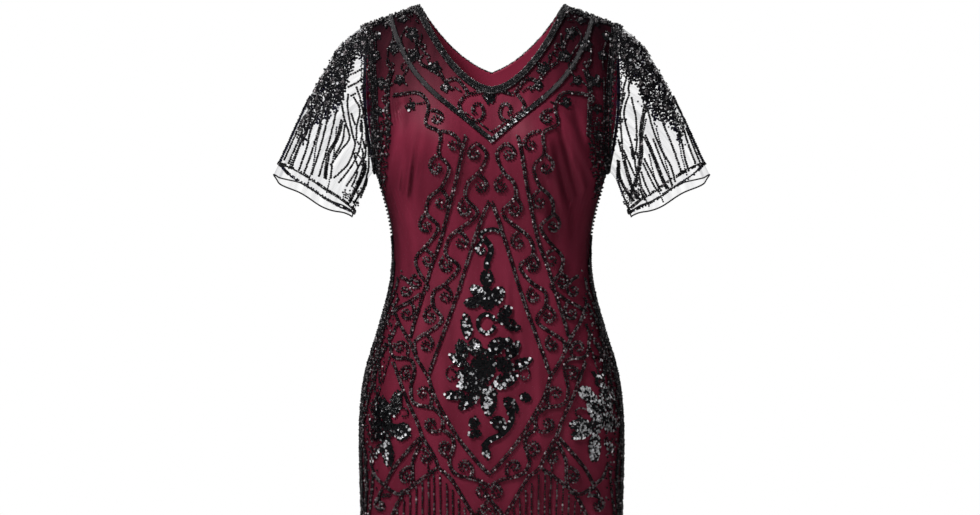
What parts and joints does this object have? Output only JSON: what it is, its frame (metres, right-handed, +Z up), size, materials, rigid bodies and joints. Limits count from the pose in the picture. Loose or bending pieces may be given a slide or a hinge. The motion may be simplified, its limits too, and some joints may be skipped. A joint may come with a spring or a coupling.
{
  "type": "dress",
  "caption": "Knee-length V-neck dress with a waisted body, sheer short sleeves and a beaded net over a plain lining.",
  "frame": {"origin": "midway between the two shoulder seams, at the height of the middle of each seam, where the wearer's shoulders hold the dress up", "axes": "+Z up, -Y out of the front of the dress, +X towards the wearer's left sleeve"},
  "size_m": [0.675, 0.2696, 1.0851],
  "materials": {
    "burgundy_lining": "smooth woven cloth with a low sheen",
    "black_net": "fine sheer net, seen through",
    "black_beadwork": "cloth band covered with glossy black beads and sequins"
  },
  "bodies": {
    "root": {"lining_front": "burgundy_lining", "lining_back": "burgundy_lining", "net_front": "black_net", "net_back": "black_net", "sleeve_left": "black_net", "sleeve_right": "black_net", "neck_band_front": "black_beadwork", "neck_band_back": "black_beadwork", "yoke_trim_front": "black_beadwork", "yoke_trim_back": "black_beadwork", "armhole_band_left": "black_beadwork", "armhole_band_right": "black_beadwork"}
  },
  "joints": []
}
